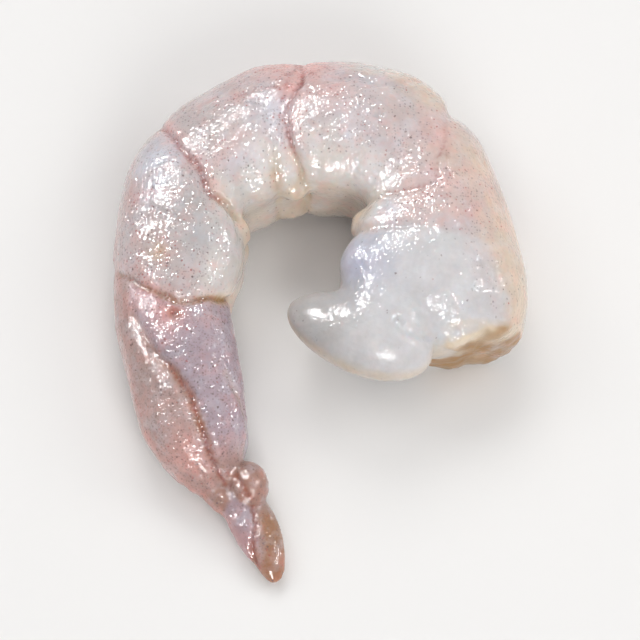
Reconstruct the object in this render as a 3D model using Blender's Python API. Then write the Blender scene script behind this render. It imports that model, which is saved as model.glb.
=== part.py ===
"""Raw tiger prawn, peeled and headless, curled up and lying on its side.

The body is a tube of flesh swept round a curl. Each ring of the sweep runs from the back, on the
outside of the curl, over the upper flank to the belly, and back under the lower flank. Creases
between the segments, the two muscle flaps at the head end, the stumps of the swimming legs and
the bare flesh of the tail fan are fused to it, so that the prawn is one solid.
"""

import math
from dataclasses import dataclass

import bmesh
import bpy
import numpy as np
from mathutils import Euler, Matrix, Vector

MM = 0.001

# The sweep, from the cut head end to the tail. In millimetres, seen from above: where the back
# runs (x, y), where the belly runs (x, y), and half the width from flank to flank.
STATIONS = (
    (25.2, -5.1, 14.3, -7.5, 6.0),
    (25.8, -3.4, 8.8, -4.5, 7.1),
    (26.1, -0.7, 4.4, -1.5, 7.8),
    (26.0, 2.5, 2.8, 2.5, 8.1),
    (25.0, 6.9, 4.3, 6.6, 8.1),
    (23.5, 13.0, 5.9, 9.6, 7.9),
    (20.3, 20.4, 6.1, 10.6, 7.8),
    (16.3, 24.0, 5.2, 11.3, 7.8),
    (12.2, 28.1, 3.9, 11.7, 8.0),
    (6.6, 30.1, 1.9, 11.7, 8.1),
    (0.0, 30.8, -0.2, 11.7, 7.9),
    (-6.6, 30.0, -2.1, 11.2, 7.8),
    (-12.5, 26.8, -4.2, 10.5, 7.6),
    (-17.6, 22.7, -6.2, 10.0, 7.2),
    (-20.6, 19.0, -7.0, 8.9, 7.2),
    (-22.5, 12.0, -6.7, 6.8, 7.1),
    (-23.0, 6.6, -6.7, 3.6, 6.8),
    (-23.1, 3.5, -7.6, 0.9, 6.4),
    (-22.9, -1.6, -7.8, -1.6, 6.1),
    (-21.6, -8.1, -7.2, -7.5, 5.8),
    (-20.2, -13.6, -6.5, -12.5, 5.3),
    (-18.5, -18.1, -6.1, -15.9, 4.8),
    (-16.0, -21.1, -6.5, -18.0, 4.1),
    (-12.9, -23.2, -7.3, -19.6, 3.2),
    (-10.4, -24.5, -7.6, -21.1, 2.3),
)
SAG = 0.35  # how far the soft flank settles flat onto what it lies on
BELLY_FULLNESS = 2.5  # above 2 the belly half of a ring is squarer than an ellipse
TROUGH_DEPTH = 1.1  # the furrow between the left and right muscles, along the belly
TROUGH_HALF_ANGLE = 24.0

AROUND = 40  # points in one ring
CUT_SLANT = 0.10  # the cut face leans back towards its lower edge by this slope
SLIVER = 0.001  # edges shorter than this, where lumps meet the body, are closed up
END_ROUNDING = 0.9  # radius where the cut face meets the flesh
TAIL_ROUNDING = 1.6


@dataclass(frozen=True)
class Crease:
    """A fold between two segments: (degrees from the back, millimetres along the body) pairs."""

    places: tuple
    back_depth: float
    belly_depth: float
    head_reach: float  # how far the fold takes to rise again, on its head side
    tail_reach: float
    deepens: tuple = (30, 120)  # degrees between which the back's depth turns into the belly's


CREASES = (
    Crease(((0, 13.4), (92, 13.8), (128, 14.1), (180, 15.0)), 0.0, 0.9, 1.1, 0.5, (70, 125)),
    Crease(((0, 27.0), (50, 25.4), (85, 19.6), (130, 19.7), (180, 22.0)), 0.55, 0.8, 1.3, 0.5),
    Crease(((0, 39.2), (65, 39.4), (93, 41.4), (135, 39.8), (180, 38.8)), 0.3, 1.2, 0.6, 1.2),
    Crease(((0, 45.6), (67, 44.9), (83, 43.7), (136, 44.9), (180, 45.0)), 0.1, 0.5, 0.9, 0.9),
    Crease(((0, 52.4), (60, 53.6), (95, 54.4), (126, 56.2), (180, 55.6)), 0.45, 1.4, 0.6, 1.2),
    Crease(((0, 66.0), (60, 69.2), (90, 71.3), (145, 69.8), (180, 67.6)), 0.35, 1.2, 0.6, 1.2),
)
# Where rings lie between one crease and the next, as shares of the way. They crowd at the folds.
SHARES = (0.0, 0.05, 0.12, 0.25, 0.45, 0.65, 0.82, 0.92, 0.97)


@dataclass(frozen=True)
class Furrow:
    """A groove that runs along the body: (millimetres along the body, degrees from the back)."""

    places: tuple
    depth: float
    half_width: float  # in millimetres, across the groove


FURROWS = (
    Furrow(((72, 44), (77, 58), (80, 76), (83, 87), (88, 89), (92, 84)), 0.8, 1.0),
    Furrow(((80, 120), (83.5, 137), (87, 152), (90, 168)), 0.35, 0.9),
)
# The points of the tail's rings are moved round so that one row of them runs in the first furrow.
ROW_IN_FURROW = 63.0
ROW_PLACES = ((68, 63), (71, 55), (74, 49.5), (77, 58), (80, 76), (83, 87), (88, 89), (92, 84))


@dataclass(frozen=True)
class Lobe:
    """A rounded lump of flesh, in millimetres. Its long axis is x before it is turned."""

    centre: tuple
    radii: tuple
    turn: tuple  # degrees about x, y and z
    taper: float = 0.0  # how much narrower it is at its +x end
    rings: int = 12


FLAPS = (
    Lobe((6.2, -5.6, 9.5), (9.3, 4.0, 3.6), (10, -6, -24), -0.35, 22),
    Lobe((9.8, -3.2, 9.2), (6.4, 5.6, 5.6), (0, 0, -24), 0.0, 20),
    Lobe((6.9, -4.0, 4.2), (7.8, 4.0, 3.5), (0, 4, -26), 0.05, 18),
)


@dataclass(frozen=True)
class Stump:
    """What is left of a swimming leg: where it is on the skin, in millimetres and degrees."""

    along: float
    from_back: float
    radii: tuple  # along the body, out of it, and across it
    sunk: float = 0.5  # how far its middle lies under the skin


LEG_STUMPS = (
    Stump(58.6, 162.0, (2.1, 1.7, 1.5)),
    Stump(58.6, 198.0, (2.0, 1.5, 1.4)),
    Stump(40.6, 162.0, (2.1, 1.7, 1.6)),
    Stump(40.6, 198.0, (2.0, 1.5, 1.4)),
    Stump(16.6, 160.0, (2.0, 1.4, 1.5)),
    Stump(16.6, 200.0, (1.9, 1.3, 1.4)),
)
TAIL_LOBES = (
    Lobe((-6.75, -22.3, 3.5), (2.9, 2.3, 2.3), (0, 0, -80), 0.0, 16),
    Lobe((-9.9, -24.0, 2.5), (2.9, 1.5, 1.7), (0, 0, -38), 0.0, 12),
    Lobe((-8.2, -26.6, 2.2), (4.9, 2.5, 1.9), (0, 8, -68), 0.15, 18),
    Lobe((-4.9, -29.2, 1.7), (5.0, 2.0, 1.6), (0, 5, -82), -0.1, 18),
)

FLESH_COLOUR = (0.69, 0.60, 0.58, 1.0)
FLESH_ROUGHNESS = 0.25


def centre_distances():
    """Millimetres along the middle of the body at each station."""
    table = np.array(STATIONS)
    middle = (table[:, 0:2] + table[:, 2:4]) / 2
    steps = np.linalg.norm(np.diff(middle, axis=0), axis=1)
    return np.concatenate([[0.0], np.cumsum(steps)])


DISTANCES = centre_distances()
LENGTH = DISTANCES[-1]


def section(along):
    """The stations' five numbers at these distances, on a smooth curve through the stations."""
    table = np.array(STATIONS)
    slopes = np.gradient(table, DISTANCES, axis=0)
    left = np.clip(np.searchsorted(DISTANCES, along, side="right") - 1, 0, len(table) - 2)
    gap = (DISTANCES[left + 1] - DISTANCES[left])[:, None]
    share = ((along - DISTANCES[left])[:, None] / gap).clip(0, 1)
    start = (2 * share**3 - 3 * share**2 + 1) * table[left]
    start_slope = (share**3 - 2 * share**2 + share) * gap * slopes[left]
    end = (3 * share**2 - 2 * share**3) * table[left + 1]
    end_slope = (share**3 - share**2) * gap * slopes[left + 1]
    return start + start_slope + end + end_slope


def from_back(angles):
    """Degrees from the back, 0 to 180, on either flank."""
    turned = np.degrees(angles) % 360
    return np.minimum(turned, 360 - turned)


def crease_place(crease, angles):
    """Where a crease lies along the body at each angle round it."""
    degrees, places = zip(*crease.places)
    return np.interp(from_back(angles), degrees, places)


def relief(along, angles):
    """How far the skin stands out from the plain sweep, in millimetres."""
    degrees = from_back(angles)
    height = np.zeros_like(along)
    for crease in CREASES:
        start, end = crease.deepens
        belly_share = np.clip((degrees - start) / (end - start), 0, 1)
        past = along - crease_place(crease, angles)
        widening = 1 + 0.5 * belly_share
        reach = np.where(past < 0, crease.head_reach, crease.tail_reach) * widening
        depth = crease.back_depth + (crease.belly_depth - crease.back_depth) * belly_share
        height -= depth * np.exp(-np.abs(past) / reach)
    radius = section(along)[:, 4]
    for furrow in FURROWS:
        places, at = zip(*furrow.places)
        off_line = np.radians(degrees - np.interp(along, places, at)) * radius
        fade = np.clip((along - places[0]) / 2, 0, 1) * np.clip((places[-1] - along) / 2, 0, 1)
        height -= furrow.depth * fade * np.exp(-((off_line / furrow.half_width) ** 2))
    off_trough = (180 - degrees) / TROUGH_HALF_ANGLE
    return height - TROUGH_DEPTH * np.exp(-(off_trough**2))


def skin(along, angles, size=1.0):
    """Points of the body's skin, in millimetres, as the ring there shrunk to size."""
    back_x, back_y, belly_x, belly_y, width = section(np.clip(along, 0, LENGTH)).T
    half_x, half_y = (back_x - belly_x) / 2, (back_y - belly_y) / 2
    depth = np.hypot(half_x, half_y)
    power = np.where(np.cos(angles) < 0, 2 / BELLY_FULLNESS, 1.0)
    out = np.sign(np.cos(angles)) * np.abs(np.cos(angles)) ** power
    up = np.sign(np.sin(angles)) * np.abs(np.sin(angles)) ** power
    radius = np.hypot(depth * out, width * up)
    grow = size * (1 + relief(along, angles) / radius)
    x = (back_x + belly_x) / 2 + half_x * out * grow
    y = (back_y + belly_y) / 2 + half_y * out * grow
    z = width - SAG + width * up * grow
    return np.stack([x, y, z], axis=1)


def moved_round(angles, along):
    """The angles of a tail ring, moved so that a row of points lies in the furrow."""
    places, at = zip(*ROW_PLACES)
    row = np.interp(along, places, at)
    turned = np.interp(from_back(angles), (0, ROW_IN_FURROW, 180), (0, row, 180))
    return np.where(angles > math.pi, 2 * math.pi - np.radians(turned), np.radians(turned))


def body_rings():
    """The rings of the body, head end first."""
    angles = np.linspace(0, 2 * math.pi, AROUND, endpoint=False)
    lean = CUT_SLANT * section(np.zeros(AROUND))[:, 4] * (1 - np.sin(angles))
    edges = [lean] + [crease_place(crease, angles) for crease in CREASES]
    tail = LENGTH - TAIL_ROUNDING
    rings = [skin(lean * size, angles, size) for size in (0.3, 0.65, 0.88)]
    rings.append(skin(lean + 0.3 * END_ROUNDING, angles, 0.97))
    for before, after in zip(edges, edges[1:]):
        first = END_ROUNDING if before is lean else 0.0
        for share in SHARES:
            rings.append(skin(before + first + (after - before - first) * share, angles))
    last_crease = edges[-1]
    for share in SHARES[:3] + (0.2, 0.3, 0.4, 0.5, 0.6, 0.7, 0.78, 0.85, 0.91, 0.96, 1.0):
        places = last_crease + (tail - last_crease) * share
        rings.append(skin(places, moved_round(angles, places.mean())))
    angles = moved_round(angles, tail)
    for turn in (30, 60, 80):
        place = tail + TAIL_ROUNDING * math.sin(math.radians(turn))
        rings.append(skin(np.full(AROUND, place), angles, math.cos(math.radians(turn))))
    return rings


def make_object(name, mesh_builder):
    """An object whose mesh is what mesh_builder puts into an empty bmesh."""
    shape = bmesh.new()
    mesh_builder(shape)
    bmesh.ops.recalc_face_normals(shape, faces=shape.faces)
    mesh = bpy.data.meshes.new(name)
    shape.to_mesh(mesh)
    shape.free()
    made = bpy.data.objects.new(name, mesh)
    bpy.context.scene.collection.objects.link(made)
    return made


def build_body(shape):
    """Sweeps the rings into a closed tube."""
    rings = [[shape.verts.new(Vector(p) * MM) for p in ring] for ring in body_rings()]
    for ring, following in zip(rings, rings[1:]):
        for i in range(AROUND):
            j = (i + 1) % AROUND
            shape.faces.new((ring[i], ring[j], following[j], following[i]))
    for ring in (rings[0], rings[-1]):
        shape.faces.new(ring)


def lobe_builder(lobe):
    """A function that builds one rounded lump."""

    def build(shape):
        bmesh.ops.create_uvsphere(
            shape, u_segments=lobe.rings, v_segments=max(6, lobe.rings // 2 + 1), radius=1.0
        )
        bmesh.ops.rotate(shape, matrix=Matrix.Rotation(math.pi / 2, 3, "Y"), verts=shape.verts)
        for vert in shape.verts:
            vert.co.y *= 1 - lobe.taper * (vert.co.x + 1) / 2
            vert.co.z *= 1 - lobe.taper * (vert.co.x + 1) / 2
        turn = Euler([math.radians(a) for a in lobe.turn]).to_matrix().to_4x4()
        size = Matrix.Diagonal(Vector((*lobe.radii, 1)))
        place = Matrix.Translation(Vector(lobe.centre))
        whole = Matrix.Scale(MM, 4) @ place @ turn @ size
        bmesh.ops.transform(shape, matrix=whole, verts=shape.verts)

    return build


def stump_lobe(stump):
    """The lump of a leg stump, half sunk into the skin."""
    angles = np.radians(np.full(3, stump.from_back))
    places = np.array([stump.along - 0.5, stump.along, stump.along + 0.5])
    points = skin(places, angles)
    deeper = skin(places, angles, 0.8)
    inward = (deeper[1] - points[1]) / np.linalg.norm(deeper[1] - points[1])
    heading = math.degrees(math.atan2(*(points[2] - points[0])[1::-1]))
    return Lobe(tuple(points[1] + inward * stump.sunk), stump.radii, (0, 0, heading))


def fuse(body, others):
    """Joins the others to the body with one Boolean union, and removes them."""
    parts = bpy.data.collections.new("lumps")
    for other in others:
        bpy.context.scene.collection.objects.unlink(other)
        parts.objects.link(other)
    bpy.context.scene.collection.children.link(parts)
    union = body.modifiers.new("union", "BOOLEAN")
    union.operation = "UNION"
    union.operand_type = "COLLECTION"
    union.collection = parts
    union.solver = "EXACT"
    evaluated = body.evaluated_get(bpy.context.evaluated_depsgraph_get())
    fused = bpy.data.meshes.new_from_object(evaluated)
    body.modifiers.remove(union)
    body.data = fused
    for other in others:
        bpy.data.objects.remove(other)
    bpy.data.collections.remove(parts)


def drop_folds(shape):
    """Takes out faces that have been closed up onto each other, and edges left without a face."""
    by_corners = {}
    for face in shape.faces:
        by_corners.setdefault(frozenset(face.verts), []).append(face)
    folded = [face for group in by_corners.values() if len(group) > 1 for face in group]
    bmesh.ops.delete(shape, geom=folded, context="FACES")
    bare = [edge for edge in shape.edges if not edge.link_faces]
    bmesh.ops.delete(shape, geom=bare, context="EDGES")


def settle(body):
    """Cuts the underside flat where it rests, and puts the origin below the middle of the box."""
    shape = bmesh.new()
    shape.from_mesh(body.data)
    everything = shape.verts[:] + shape.edges[:] + shape.faces[:]
    bmesh.ops.bisect_plane(
        shape, geom=everything, plane_co=(0, 0, 0), plane_no=(0, 0, -1), clear_outer=True
    )
    bmesh.ops.holes_fill(shape, edges=[e for e in shape.edges if e.is_boundary])
    bmesh.ops.triangulate(shape, faces=shape.faces)
    bmesh.ops.remove_doubles(shape, verts=shape.verts, dist=SLIVER * MM)
    drop_folds(shape)
    corners = np.array([v.co for v in shape.verts])
    middle = (corners.min(axis=0) + corners.max(axis=0)) / 2
    bmesh.ops.translate(shape, vec=(-middle[0], -middle[1], 0), verts=shape.verts)
    shape.to_mesh(body.data)
    shape.free()


def flesh_material():
    """Raw prawn flesh: pale, grey to pink, and wet."""
    flesh = bpy.data.materials.new("raw_flesh")
    flesh.use_nodes = True
    shader = flesh.node_tree.nodes["Principled BSDF"]
    shader.inputs["Base Color"].default_value = FLESH_COLOUR
    shader.inputs["Roughness"].default_value = FLESH_ROUGHNESS
    shader.inputs["Metallic"].default_value = 0.0
    return flesh


def main():
    for old in list(bpy.data.objects):
        bpy.data.objects.remove(old)
    body = make_object("prawn", build_body)
    lumps = FLAPS + tuple(stump_lobe(stump) for stump in LEG_STUMPS) + TAIL_LOBES
    others = [make_object(f"lump_{n}", lobe_builder(lobe)) for n, lobe in enumerate(lumps)]
    fuse(body, others)
    settle(body)
    body.data.shade_smooth()
    body.data.materials.clear()
    body.data.materials.append(flesh_material())


main()
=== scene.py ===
"""Raw tiger prawn, peeled and headless, curled up and lying on its side on a pale table.

The flesh starts as closed forms made by bmesh operators: a tube swept round the curl, two flaps of
muscle at the head end, the stumps of the swimming legs and the bare flesh of the tail fan. A voxel
remesh fuses them into one skin, which is then worked like clay: creases between the segments,
furrows, wrinkles of the wet film, pits and the cut face.

Each place on the skin has body coordinates: millimetres along the body from the cut head end, and
degrees from the back (0) over a flank (90) to the belly (180). Lengths are in millimetres until
they enter a mesh.
"""

import logging
import math
from dataclasses import dataclass, field
from enum import Enum

import bmesh
import bpy
import numpy as np
from mathutils import Euler, Matrix, Vector, noise
from mathutils.kdtree import KDTree


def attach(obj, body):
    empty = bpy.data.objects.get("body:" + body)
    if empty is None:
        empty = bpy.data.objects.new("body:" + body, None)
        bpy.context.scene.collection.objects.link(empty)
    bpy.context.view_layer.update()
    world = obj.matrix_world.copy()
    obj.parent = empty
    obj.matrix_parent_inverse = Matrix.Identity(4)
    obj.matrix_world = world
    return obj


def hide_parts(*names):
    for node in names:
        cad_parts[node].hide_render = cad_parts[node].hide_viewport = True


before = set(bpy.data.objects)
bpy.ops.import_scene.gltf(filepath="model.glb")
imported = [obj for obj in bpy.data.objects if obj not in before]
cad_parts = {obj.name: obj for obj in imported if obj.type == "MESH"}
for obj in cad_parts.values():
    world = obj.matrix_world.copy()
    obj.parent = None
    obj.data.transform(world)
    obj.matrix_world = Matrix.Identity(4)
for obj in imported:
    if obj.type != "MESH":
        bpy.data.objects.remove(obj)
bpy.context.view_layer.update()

LOG = logging.getLogger("prawn")
MM = 0.001
FAR = 999.0  # millimetres: stands for out of reach
BODY_RADIUS = 7.5  # millimetres: the middle of the body, for patterns on the straightened skin
Places = tuple[tuple[float, float], ...]

# The sweep, from the cut head end to the tail, as in the solid: where the back runs (x, y), where
# the belly runs (x, y), and half the width from flank to flank.
STATIONS = (
    (25.2, -5.1, 14.3, -7.5, 6.0),
    (25.8, -3.4, 8.8, -4.5, 7.1),
    (26.1, -0.7, 4.4, -1.5, 7.8),
    (26.0, 2.5, 2.8, 2.5, 8.1),
    (25.0, 6.9, 4.3, 6.6, 8.1),
    (23.5, 13.0, 5.9, 9.6, 7.9),
    (20.3, 20.4, 6.1, 10.6, 7.8),
    (16.3, 24.0, 5.2, 11.3, 7.8),
    (12.2, 28.1, 3.9, 11.7, 8.0),
    (6.6, 30.1, 1.9, 11.7, 8.1),
    (0.0, 30.8, -0.2, 11.7, 7.9),
    (-6.6, 30.0, -2.1, 11.2, 7.8),
    (-12.5, 26.8, -4.2, 10.5, 7.6),
    (-17.6, 22.7, -6.2, 10.0, 7.2),
    (-20.6, 19.0, -7.0, 8.9, 7.2),
    (-22.5, 12.0, -6.7, 6.8, 7.1),
    (-23.0, 6.6, -6.7, 3.6, 6.8),
    (-23.1, 3.5, -7.6, 0.9, 6.4),
    (-22.9, -1.6, -7.8, -1.6, 6.1),
    (-21.6, -8.1, -7.2, -7.5, 5.8),
    (-20.2, -13.6, -6.5, -12.5, 5.3),
    (-18.5, -18.1, -6.1, -15.9, 4.8),
    (-16.0, -21.1, -6.5, -18.0, 4.1),
    (-12.9, -23.2, -7.3, -19.6, 3.2),
    (-10.4, -24.5, -7.6, -21.1, 2.3),
)
MIDDLE_OF_BOX = (1.551, -1.700)  # the row frame's origin, in the sweep's own x and y


def ramp(value: np.ndarray, low: float, high: float) -> np.ndarray:
    """A smooth rise.

    Args:
        value: What rises.
        low: Where the result leaves 0.
        high: Where it reaches 1.

    Returns:
        Numbers from 0 to 1.
    """
    share = np.clip((value - low) / (high - low), 0.0, 1.0)
    return share * share * (3 - 2 * share)


def mound(distance: np.ndarray, radius: float) -> np.ndarray:
    """A soft round hill of height 1: it is down to a third at the radius."""
    return np.exp(-((distance / radius) ** 2))


def grain(points: np.ndarray, size: float | tuple[float, float, float], seed: int) -> np.ndarray:
    """Smooth noise over points.

    Args:
        points: Places, in millimetres.
        size: The width of its humps, in millimetres, the same all ways or along x, y and z.
        seed: Which noise.

    Returns:
        Numbers from about -1 to 1, one for each point.
    """
    scaled = points / np.array(size) + seed * 17.3
    return np.array([noise.noise(p) for p in scaled.tolist()]) * 1.6


def bent(value: np.ndarray, power: np.ndarray) -> np.ndarray:
    """A power that keeps the value's sign."""
    return np.sign(value) * np.abs(value) ** power


def strongest(*shares: np.ndarray) -> np.ndarray:
    """The highest of several shares, point by point."""
    return np.max(shares, axis=0)


def from_the_back(degrees: np.ndarray) -> np.ndarray:
    """Turns degrees round the body, 0 to 360, to degrees from the back, 0 to 180."""
    return np.minimum(degrees % 360, 360 - degrees % 360)


def linear(hex_colour: str) -> tuple[float, float, float, float]:
    """Turns an sRGB hex value to the linear colour that Blender's sockets take."""
    shares = [int(hex_colour[i : i + 2], 16) / 255 for i in (1, 3, 5)]
    red, green, blue = (s / 12.92 if s <= 0.04045 else ((s + 0.055) / 1.055) ** 2.4 for s in shares)
    return (red, green, blue, 1.0)


def put(name: str, data: bpy.types.ID) -> bpy.types.Object:
    """Puts a new object with this mesh, light or camera in the scene."""
    thing = bpy.data.objects.new(name, data)
    bpy.context.scene.collection.objects.link(thing)
    return thing


class Flank(Enum):
    """Which side of the prawn: the one that shows, or the one it lies on."""

    UPPER = 1
    LOWER = -1


@dataclass(frozen=True)
class Crease:
    """A fold between two segments, that runs from the back to the belly on both flanks."""

    name: str
    places: Places  # degrees from the back, millimetres along
    back_depth: float
    belly_depth: float
    head_reach: float  # how far the flesh takes to rise again, on the head side
    tail_reach: float
    deepens: tuple[float, float] = (30, 120)  # degrees between which it turns to the belly's depth
    flank_share: float = 1.0  # how much of its depth is left on the upper flank
    cut_depth: float = 0.3  # of the sharp line at its bottom
    cut_from: float = 20.0  # degrees at which the sharp line starts
    blood: float = 0.0  # how red the line is

    def place(self, degrees: np.ndarray) -> np.ndarray:
        """Millimetres along the body where the crease runs at these degrees from the back."""
        at, along = zip(*self.places)
        return np.interp(degrees, at, along)

    def relief(self, along: np.ndarray, degrees: np.ndarray) -> np.ndarray:
        """Height of the skin over the plain sweep, from the crease's wide soft part.

        Args:
            along: Millimetres along the body.
            degrees: Degrees from the back, 0 to 180.

        Returns:
            Millimetres, below 0 in the crease.
        """
        start, end = self.deepens
        belly_share = np.clip((degrees - start) / (end - start), 0, 1)
        past = along - self.place(degrees)
        reach = np.where(past < 0, self.head_reach, self.tail_reach) * (1 + 0.5 * belly_share)
        depth = self.back_depth + (self.belly_depth - self.back_depth) * belly_share
        depth = depth * (1 - (1 - self.flank_share) * mound(degrees - 56, 28))
        return -depth * np.exp(-np.abs(past) / reach)


CREASES = (
    Crease("neck", ((0, 13.4), (92, 13.8), (128, 14.1), (180, 15.0)), 0.0, 0.7, 1.1, 0.5,
           deepens=(70, 125), cut_depth=0.1, cut_from=88.0),
    Crease("first", ((0, 27.0), (50, 25.4), (78, 22.2), (87, 19.4), (105, 19.3), (130, 19.7),
                     (180, 22.0)), 0.55, 0.45, 1.3, 0.5,
           flank_share=0.1, cut_depth=0.12, cut_from=78.0, blood=0.4),
    Crease("second", ((0, 39.2), (65, 39.4), (93, 41.6), (112, 41.2), (135, 39.8), (180, 38.8)),
           0.3, 1.1, 0.5, 1.0, cut_depth=0.28, blood=0.9),
    Crease("third", ((0, 45.6), (67, 44.9), (83, 43.5), (106, 43.9), (136, 44.9), (180, 45.0)),
           0.1, 0.5, 0.9, 0.9, cut_depth=0.12, cut_from=60.0),
    Crease("fourth", ((0, 51.9), (60, 53.1), (95, 54.2), (110, 56.2), (126, 56.1), (147, 56.9),
                      (180, 55.6)), 0.35, 1.2, 0.5, 0.9, cut_depth=0.35, blood=1.0),
    Crease("fifth", ((0, 66.0), (38, 68.2), (60, 69.4), (90, 71.3), (145, 69.8), (180, 67.6)),
           0.35, 1.2, 0.6, 1.2, cut_depth=0.3, blood=0.35),
)


@dataclass(frozen=True)
class Furrow:
    """A line on the skin that isn't a crease between segments: a groove, a ridge or a vessel."""

    name: str
    places: tuple[tuple[float, ...], ...]  # (millimetres along, degrees from the back) or (x, y, z)
    depth: float  # below 0 for a ridge
    half_width: float
    flanks: tuple[Flank, ...] = (Flank.UPPER,)


BOTH_FLANKS = (Flank.UPPER, Flank.LOWER)
TAIL_FURROW = Furrow("tail furrow", ((70.5, 38), (72, 44), (77, 58), (80, 76), (83, 87), (86, 88.5),
                                     (88.5, 88), (91.5, 85), (94, 82)), 0.5, 0.7, BOTH_FLANKS)
FURROWS = (
    TAIL_FURROW,
    Furrow("tail line", TAIL_FURROW.places[2:], 0.3, 0.3, BOTH_FLANKS),
    Furrow("tail belly lip", ((80, 120), (81.4, 129), (83.5, 137), (87.2, 154), (89.5, 175)), 0.25, 0.4),
    Furrow("tail belly wrinkle", ((82, 141), (84.5, 147), (87.5, 163)), 0.14, 0.3),
    Furrow("tail belly wrinkle", ((81, 150), (84, 158), (86.5, 172)), 0.14, 0.3),
    Furrow("tail root wrinkle", ((72.4, 87), (73.2, 90), (74.8, 94)), 0.2, 0.28),
    Furrow("tail root wrinkle", ((72.6, 86), (74.0, 86), (75.4, 83)), 0.2, 0.28),
    Furrow("tail root wrinkle", ((72.5, 85), (73.4, 80), (74.2, 76)), 0.16, 0.28),
    Furrow("back fold", ((37.7, 72), (36.0, 62), (34.2, 56), (32.2, 60), (30.6, 51), (29.5, 28),
                         (28.6, 14)), 0.26, 0.45),
    Furrow("flap root", ((14.2, -8.9, 7.6), (13.8, -8.4, 8.5), (12.2, -8.0, 9.5), (11.4, -7.3, 10.5),
                         (10.8, -6.5, 11.5), (10.5, -5.4, 12.3), (10.3, -4.0, 13.0)), 0.5, 0.55),
    Furrow("blade crease", ((-6.6, -24.0, 3.6), (-6.5, -25.5, 3.3), (-6.0, -27.4, 3.2), (-6.2, -29.3, 3.0),
                            (-6.4, -31.1, 2.8), (-6.1, -32.8, 2.3)), 0.4, 0.32),
    Furrow("knob crease", ((-9.4, -21.4, 5.4), (-8.5, -22.2, 5.6), (-7.5, -23.5, 5.6), (-6.5, -24.7, 4.9)),
           0.3, 0.36),
    Furrow("flank pleat", ((36.5, 95), (36.4, 120), (36.0, 150)), 0.14, 0.5),
    Furrow("flank pleat", ((31.0, 100), (29.6, 122), (28.8, 150)), 0.14, 0.5),
    Furrow("flank pleat", ((26.5, 98), (24.9, 120), (24.2, 146)), 0.12, 0.5),
    Furrow("flank pleat", ((48.6, 85), (48.2, 110), (48.6, 140)), 0.14, 0.5),
    Furrow("flank pleat", ((60.5, 40), (61.0, 70), (62.4, 95)), 0.16, 0.6),
)
VESSELS = (
    Furrow("back vessel", ((46.4, 58), (46.0, 61.7), (44.6, 64), (43.3, 66.7), (40.8, 69.6)), 0.0, 0.2),
    Furrow("flank vessel", ((39.6, 25), (40.0, 45), (41.0, 66), (41.6, 82), (41.5, 94)), 0.0, 0.3),
    Furrow("seam vessel", ((19.5, 84), (20.4, 77), (22.4, 70), (25.3, 50), (26.6, 22)), 0.0, 0.3),
)


@dataclass(frozen=True)
class Lobe:
    """A rounded lump of flesh. Its long axis is x before it is turned."""

    name: str
    centre: tuple[float, float, float]
    radii: tuple[float, float, float]
    turn: tuple[float, float, float]  # degrees about x, y and z
    taper: float = 0.0  # how much narrower it is at its +x end

    def matrix(self) -> Matrix:
        """From a unit ball to the lump, in millimetres."""
        turn = Euler([math.radians(a) for a in self.turn]).to_matrix().to_4x4()
        return Matrix.Translation(Vector(self.centre)) @ turn @ Matrix.Diagonal((*self.radii, 1))

    def mould(self, shape: bmesh.types.BMesh) -> None:
        """Adds the lump to a mesh as a ball that is tapered, stretched, turned and placed.

        Args:
            shape: The mesh that gains the lump.
        """
        made = bmesh.ops.create_uvsphere(shape, u_segments=48, v_segments=25, radius=1.0)["verts"]
        bmesh.ops.rotate(shape, matrix=Matrix.Rotation(math.pi / 2, 3, "Y"), verts=made)
        for vert in made:
            narrowing = 1 - self.taper * (vert.co.x + 1) / 2
            vert.co.y *= narrowing
            vert.co.z *= narrowing
        bmesh.ops.transform(shape, matrix=self.matrix(), verts=made)

    def depth(self, points: np.ndarray) -> np.ndarray:
        """How far out points lie: 1 on the lump's skin, 0 in its middle."""
        inverse = np.array(self.matrix().inverted())
        local = points @ inverse[:3, :3].T + inverse[:3, 3]
        narrowing = 1 - self.taper * (np.clip(local[:, 0], -1, 1) + 1) / 2
        return np.sqrt(local[:, 0] ** 2 + (local[:, 1] ** 2 + local[:, 2] ** 2) / narrowing**2)


def depth_in(lobes: list[Lobe], points: np.ndarray) -> np.ndarray:
    """How far out points lie in the nearest of several lumps: 1 on its skin, 0 in its middle."""
    return np.min([lobe.depth(points) for lobe in lobes], axis=0)


@dataclass(frozen=True)
class Stump:
    """What is left of a swimming leg, where it is on the skin, and its size."""

    along: float
    degrees: float  # round the body: over 180 on the lower flank
    radii: tuple[float, float, float]  # along the body, out of it, and across it
    sunk: float = 0.5


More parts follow.
